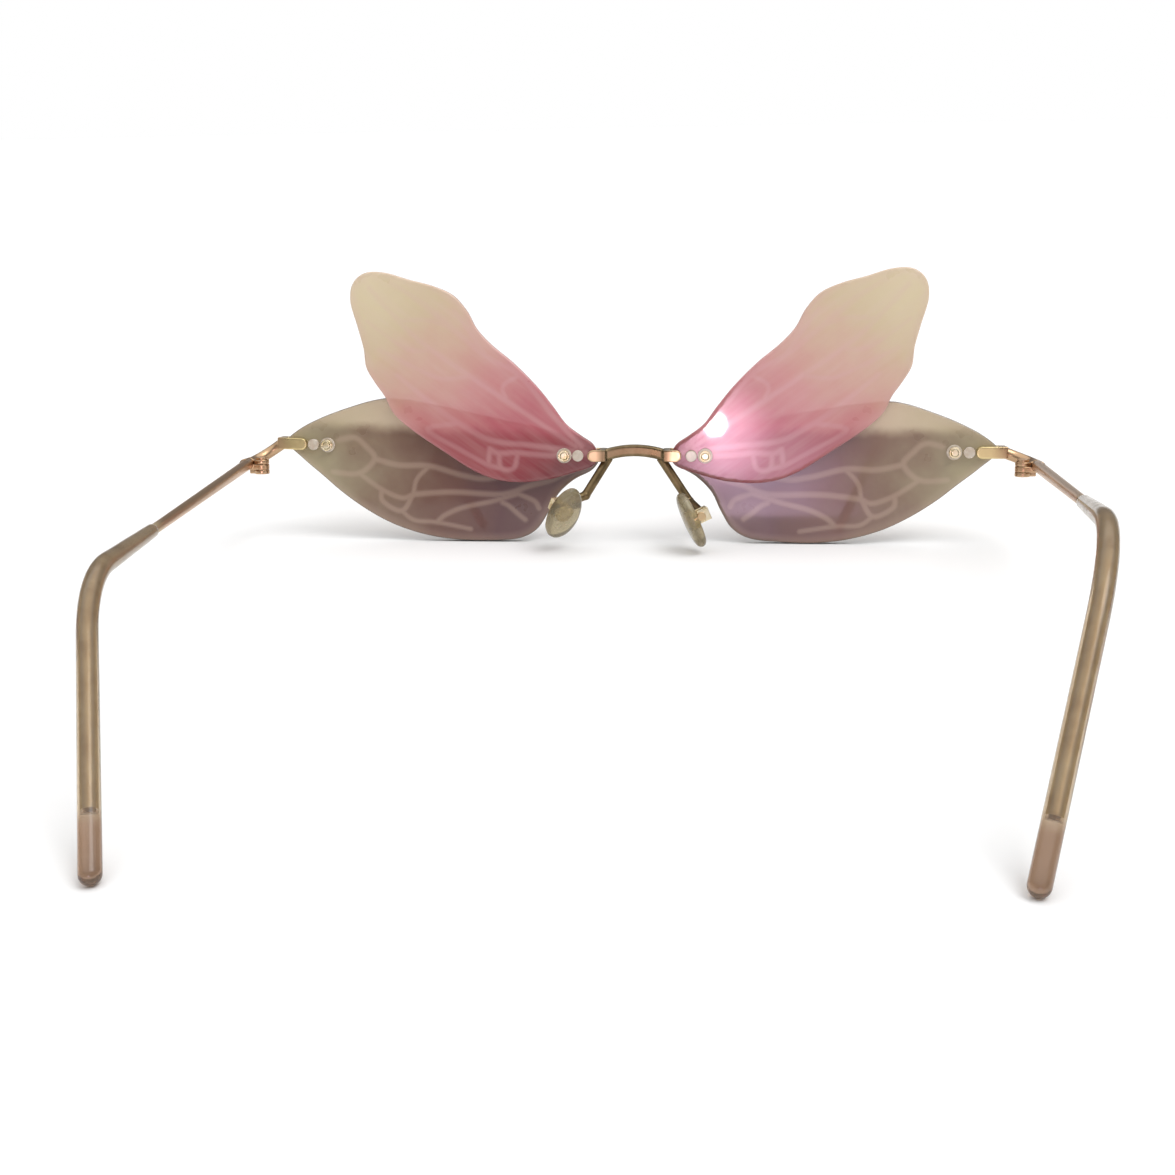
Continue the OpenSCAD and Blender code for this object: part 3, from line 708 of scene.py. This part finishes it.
def temple(side, material):
    """The temple: its hinge end cut from the CAD node, and a tapered wire with a round tip."""
    hinge_end = softened(f"temple_{side}", 0.09, 8, lug_plane(side))
    line, down = sleeve_line(side, SLEEVE_END)
    root = [Vector((0, y, 0)) for y in np.linspace(LUG_LEN / 2, BARE_LEN, 30)[:-1]]
    share = [(p.y - root[0].y) / (BARE_LEN - root[0].y) for p in root]
    radii = [ARM_ROOT_R + (ARM_TIP_R - ARM_ROOT_R) * f for f in share] + [ARM_TIP_R]
    radii += [CORE_R] * (len(line) - 1)
    line[-1] = line[-1] - down * CORE_R
    dome = line[-1]
    for angle in np.radians(np.linspace(0, 80, 6)[1:]):
        line.append(dome + down * CORE_R * math.sin(angle))
        radii.append(CORE_R * math.cos(angle))
    verts, faces, rings = sweep(root + line, radii)
    faces += [tuple(rings[0]), tuple(rings[-1])]
    piece = mesh_piece(f"temple_wire_{side}", verts, faces, temple_matrix(side),
                       f"temple_{side}", [f"temple_{side}"], material)
    bm = bmesh.new()
    bm.from_mesh(piece.data)
    bm.from_mesh(hinge_end)
    bm.to_mesh(piece.data)
    bm.free()
    for polygon in piece.data.polygons:
        polygon.use_smooth = True
    return piece


def lug_plane(side):
    """A point and a direction: the CAD temple is kept in front of this plane."""
    point = wear(side) @ Vector((ARM_X, HINGE.y + LUG_LEN - 0.3, ARM_Z))
    return point, (WEARING.to_3x3() @ Vector((0, 1, 0))).normalized()


def pad_matrix(side):
    """From the nose pad's own frame to metres: X towards the nose, Z up the pad."""
    pivot = in_wearing(joints[f"pad_{side}_rock"]["pos_m"])
    pivot.x = abs(pivot.x)
    lean = turned("Z", 180 - PAD_TURN[side]) @ turned("Y", PAD_LEAN[side])
    return wear(side) @ Matrix.Translation(pivot) @ lean


def nose_pad(side, material):
    """A soft oval pad: domed towards the nose, flatter behind, with round edges."""
    count = 48
    # Rings as (share of the half sizes, height over the pad's thickness)
    profile = [(0.55, -0.02), (0.8, 0.0), (0.9, 0.06), (0.97, 0.2), (1.0, 0.42), (0.97, 0.64),
               (0.9, 0.8), (0.78, 0.9), (0.6, 0.96), (0.38, 0.99)]
    verts = [(PAD_FRONT, 0, 0)]
    rings = []
    for share, height in profile:
        rings.append(list(range(len(verts), len(verts) + count)))
        for k in range(count):
            angle = 2 * math.pi * k / count
            wide = PAD_W / 2 * (1 - 0.1 * math.sin(angle))
            verts.append((PAD_FRONT + PAD_T * height, share * wide * math.cos(angle),
                          share * PAD_LEN / 2 * math.sin(angle)))
    verts.append((PAD_FRONT + PAD_T, 0, 0))
    faces = [(0, rings[0][i], rings[0][(i + 1) % count]) for i in range(count)]
    for a, b in zip(rings[:-1], rings[1:]):
        faces += ring_faces(a, b)
    last = rings[-1]
    faces += [(last[i], last[(i + 1) % count], len(verts) - 1) for i in range(count)]
    return mesh_piece(f"silicone_pad_{side}", verts, faces, pad_matrix(side),
                      f"nose_pad_{side}", [f"nose_pad_{side}"], material)


# ---- Stage, camera and light ----

CAMERA_AZIMUTH = math.radians(185.4)
CAMERA_HEIGHT = math.radians(18.03)
CAMERA_ROLL = math.radians(-1.06)
CAMERA_DISTANCE = 0.21939
CAMERA_TARGET = Vector((0.00385, -0.00655, 0.00966))
CAMERA_LENS = 44.39

SUN_STRENGTH = 1.1
SUN_ANGLE = math.radians(35)
SUN_FROM = Vector((-0.5, 0.25, 1))
# Glossy glare on the right wing: name, the spot it shows at in the wearing frame, the lamp's
# distance and radius in metres, its colour and strength, and whether its edge fades
GLARE = [
    ("sparkle", (15.0, 2.65, 5.8), 0.45, 0.0051, (1, 1, 1), 260, False),
    ("halo", (16, 2.65, 3.5), 0.5, 0.034, srgb(255, 190, 220), 26, True),
    ("glow", (23, 1.5, -7), 0.6, 0.08, srgb(244, 206, 240), 7, True),
]
# Brightness of the sky by the sine of the height above the horizon
SKY = [(0.0, 0.3), (0.1, 0.2), (0.5, 0.25), (0.66, 1.25), (1.0, 1.25)]


def view_axes():
    """The camera's right, up and backward directions."""
    back = Vector((math.sin(CAMERA_AZIMUTH) * math.cos(CAMERA_HEIGHT),
                   -math.cos(CAMERA_AZIMUTH) * math.cos(CAMERA_HEIGHT), math.sin(CAMERA_HEIGHT)))
    right = (-back).cross(Vector((0, 0, 1))).normalized()
    up = right.cross(-back)
    c, s = math.cos(CAMERA_ROLL), math.sin(CAMERA_ROLL)
    return right * c + up * s, up * c - right * s, back


def add_camera():
    right, up, back = view_axes()
    data = bpy.data.cameras.new("camera")
    data.lens = CAMERA_LENS
    data.sensor_width = 36
    data.clip_start = 0.01
    camera = bpy.data.objects.new("camera", data)
    camera.matrix_world = (Matrix.Translation(CAMERA_TARGET + back * CAMERA_DISTANCE)
                           @ Matrix((right, up, back)).transposed().to_4x4())
    bpy.context.scene.collection.objects.link(camera)
    bpy.context.scene.camera = camera
    return camera


def add_stage():
    """A wide pale floor."""
    reach, count = 9.0, 48
    edge = circle_loop(0, 0, reach, count)
    verts = [(0, 0, 0)] + [(x, y, 0) for x, y in edge]
    faces = [(0, i + 1, (i + 1) % count + 1) for i in range(count)]
    mesh = bpy.data.meshes.new("stage_floor")
    mesh.from_pydata(verts, [], faces)
    s = Shader("stage_white", Roughness=0.9)
    s.surface.inputs["Specular IOR Level"].default_value = 0.0
    grain = s.noise(s.object_place(), 30, 2)
    s.set("Base Color", s.ramp(grain, [(0.0, (0.93, 0.93, 0.93, 1)), (1.0, (0.95, 0.95, 0.95, 1))]))
    mesh.materials.append(s.material)
    floor = bpy.data.objects.new("stage_floor", mesh)
    bpy.context.scene.collection.objects.link(floor)


def add_area(name, place, target, size, watts):
    data = bpy.data.lights.new(name, "AREA")
    data.shape = "DISK"
    data.size = size
    data.energy = watts
    lamp = bpy.data.objects.new(name, data)
    away = Vector(place) - Vector(target)
    lamp.matrix_world = Matrix.Translation(place) @ away.to_track_quat("Z", "Y").to_matrix().to_4x4()
    bpy.context.scene.collection.objects.link(lamp)
    return lamp


def add_reflection(name, camera, spot, away, radius, colour, strength):
    """A glossy-only disc lamp, mirrored from the camera: it shows at a spot of the right wing."""
    spot = wear("right") @ Vector(spot)
    normal = (WEARING.to_3x3() @ Vector((0, 1, 0))).normalized()
    seen = (camera.matrix_world.translation - spot).normalized()
    out = (2 * normal.dot(seen)) * normal - seen
    watts = strength * math.pi ** 2 * radius ** 2
    lamp = add_area(name, spot + out * away, spot, 2 * radius, watts)
    lamp.data.color = colour[:3]
    lamp.visible_diffuse = False
    return lamp.data


def fade_lamp(data):
    """Makes a disc lamp bright in the middle and dark at its edge."""
    data.use_nodes = True
    tree = data.node_tree
    across = tree.nodes.new("ShaderNodeNewGeometry")
    middle = tree.nodes.new("ShaderNodeVectorMath")
    middle.operation = "DISTANCE"
    middle.inputs[1].default_value = (0.5, 0.5, 0)
    share = tree.nodes.new("ShaderNodeMapRange")
    share.interpolation_type = "SMOOTHSTEP"
    share.inputs["From Min"].default_value = 0.5
    share.inputs["From Max"].default_value = 0.0
    tree.links.new(across.outputs["Parametric"], middle.inputs[0])
    tree.links.new(middle.outputs["Value"], share.inputs["Value"])
    tree.links.new(share.outputs[0], tree.nodes["Emission"].inputs["Strength"])


def add_sun():
    data = bpy.data.lights.new("sun", "SUN")
    data.energy = SUN_STRENGTH
    data.angle = SUN_ANGLE
    lamp = bpy.data.objects.new("sun", data)
    lamp.matrix_world = SUN_FROM.to_track_quat("Z", "Y").to_matrix().to_4x4()
    bpy.context.scene.collection.objects.link(lamp)


def add_world():
    """A white room to the camera; dim walls and a bright ceiling to everything else."""
    world = bpy.data.worlds.new("studio")
    world.use_nodes = True
    tree = world.node_tree
    place = tree.nodes.new("ShaderNodeTexCoord")
    axes = tree.nodes.new("ShaderNodeSeparateXYZ")
    ramp = tree.nodes.new("ShaderNodeValToRGB")
    path = tree.nodes.new("ShaderNodeLightPath")
    lightest = tree.nodes.new("ShaderNodeMath")
    lightest.operation = "MAXIMUM"
    tree.links.new(place.outputs["Generated"], axes.inputs[0])
    tree.links.new(axes.outputs["Z"], ramp.inputs[0])
    tree.links.new(path.outputs["Is Camera Ray"], lightest.inputs[0])
    tree.links.new(ramp.outputs["Color"], lightest.inputs[1])
    elements = ramp.color_ramp.elements
    while len(elements) < len(SKY):
        elements.new(0.5)
    for element, (at, grey) in zip(elements, SKY):
        element.position = at
        element.color = (grey, grey, grey, 1)
    tree.links.new(lightest.outputs[0], tree.nodes["Background"].inputs["Color"])
    bpy.context.scene.world = world


# ---- Softened copies of CAD nodes ----

SOFT_PARTS = {
    # CAD node: spacing of the new mesh in millimetres, and rounds of smoothing
    "bridge": (0.11, 9), "endpiece": (0.09, 10), "pad_arm": (0.09, 10), "pad_box": (0.08, 5),
    "wing_spacer": (0.08, 3), "pad_insert": (0.08, 3),
    "pad_screw": (0.06, 4), "hinge_screw": (0.06, 4),
    "bridge_screw": (0.07, 4), "bridge_nut": (0.06, 9), "bridge_washer": (0.06, 4),
    "bridge_peg_cap": (0.06, 5), "end_screw": (0.07, 4), "end_nut": (0.06, 9),
    "end_washer": (0.06, 4), "end_peg_cap": (0.06, 5),
}
BRIGHT_PARTS = ("bridge_screw", "bridge_nut", "end_screw", "end_nut", "pad_box", "pad_insert")


def softened(node, spacing, rounds, plane=None):
    """A mesh of a CAD node with its edges rounded over, cut off behind a plane if one is given."""
    copy = frame["nodes"][node].data.copy()
    if plane:
        bm = bmesh.new()
        bm.from_mesh(copy)
        bmesh.ops.remove_doubles(bm, verts=bm.verts, dist=1e-7)
        everything = list(bm.verts) + list(bm.edges) + list(bm.faces)
        cut = bmesh.ops.bisect_plane(bm, geom=everything, plane_co=plane[0], plane_no=plane[1],
                                     clear_outer=True)
        rim = [e for e in cut["geom_cut"] if isinstance(e, bmesh.types.BMEdge)]
        bmesh.ops.edgenet_fill(bm, edges=rim)
        bm.to_mesh(copy)
        bm.free()
    rough = bpy.data.objects.new("rough", copy)
    bpy.context.scene.collection.objects.link(rough)
    remesh = rough.modifiers.new("remesh", "REMESH")
    remesh.mode = "VOXEL"
    remesh.voxel_size = spacing * MM
    smooth = rough.modifiers.new("smooth", "SMOOTH")
    smooth.factor = 0.6
    smooth.iterations = rounds
    ready = rough.evaluated_get(bpy.context.evaluated_depsgraph_get())
    mesh = bpy.data.meshes.new_from_object(ready)
    bpy.data.objects.remove(rough)
    return mesh


def soften(node, spacing, rounds, body, material):
    """A softened copy of a CAD node, in place of the node."""
    mesh = softened(node, spacing, rounds)
    for polygon in mesh.polygons:
        polygon.use_smooth = True
    mesh.materials.clear()
    mesh.materials.append(material)
    piece = bpy.data.objects.new(f"{node}_finished", mesh)
    bpy.context.scene.collection.objects.link(piece)
    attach(piece, body)
    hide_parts(node)


def soften_small_parts():
    """Every metal and clear plastic part, from its CAD node."""
    finishes = {"gold": gold_material(), "clear_plastic": clear_material()}
    bright, dull_dark_plating = pale_gold_material(), dull_dark_plating_material()
    bodies = {node: body for body, nodes in frame["record"]["behaviour"]["bodies"].items()
              for node in nodes}
    for part in frame["record"]["subparts"]:
        node, slot = part["node"], part["material_slot"]
        kind = node.removesuffix("_left").removesuffix("_right")
        if kind in SOFT_PARTS:
            spacing, rounds = SOFT_PARTS[kind]
            finish = bright if kind in BRIGHT_PARTS else finishes[slot]
            finish = dull_dark_plating if kind == "pad_arm" else finish
            soften(node, spacing, rounds, bodies[node], finish)


# ---- Making everything ----


def make_pieces():
    sleeve_plastic, silicone, wire = sleeve_material(), pad_material(), core_material()
    lens_pins = ["bridge_screw", "bridge_peg_cap", "end_screw", "end_peg_cap"]
    wing_pins = ["bridge_screw", "bridge_peg_cap"]
    for side in SIDES:
        plate("lens", side, LENS_OUTLINE, lens_pins, LENS_VEINS, -PLATE_T / 2,
              lens_turn(side), lens_material(side))
        plate("wing", side, WING_OUTLINE, wing_pins, WING_VEINS, PLATE_T / 2 + SPACER_T,
              Matrix.Identity(4), wing_material(side))
        temple(side, wire)
        sleeve(side, sleeve_plastic)
        nose_pad(side, silicone)


bpy.context.scene.view_settings.view_transform = "Standard"
camera = add_camera()
add_stage()
add_world()
add_sun()
for name, spot, away, radius, colour, strength, faded in GLARE:
    lamp_data = add_reflection(name, camera, spot, away, radius, colour, strength)
    if faded:
        fade_lamp(lamp_data)
soften_small_parts()
make_pieces()
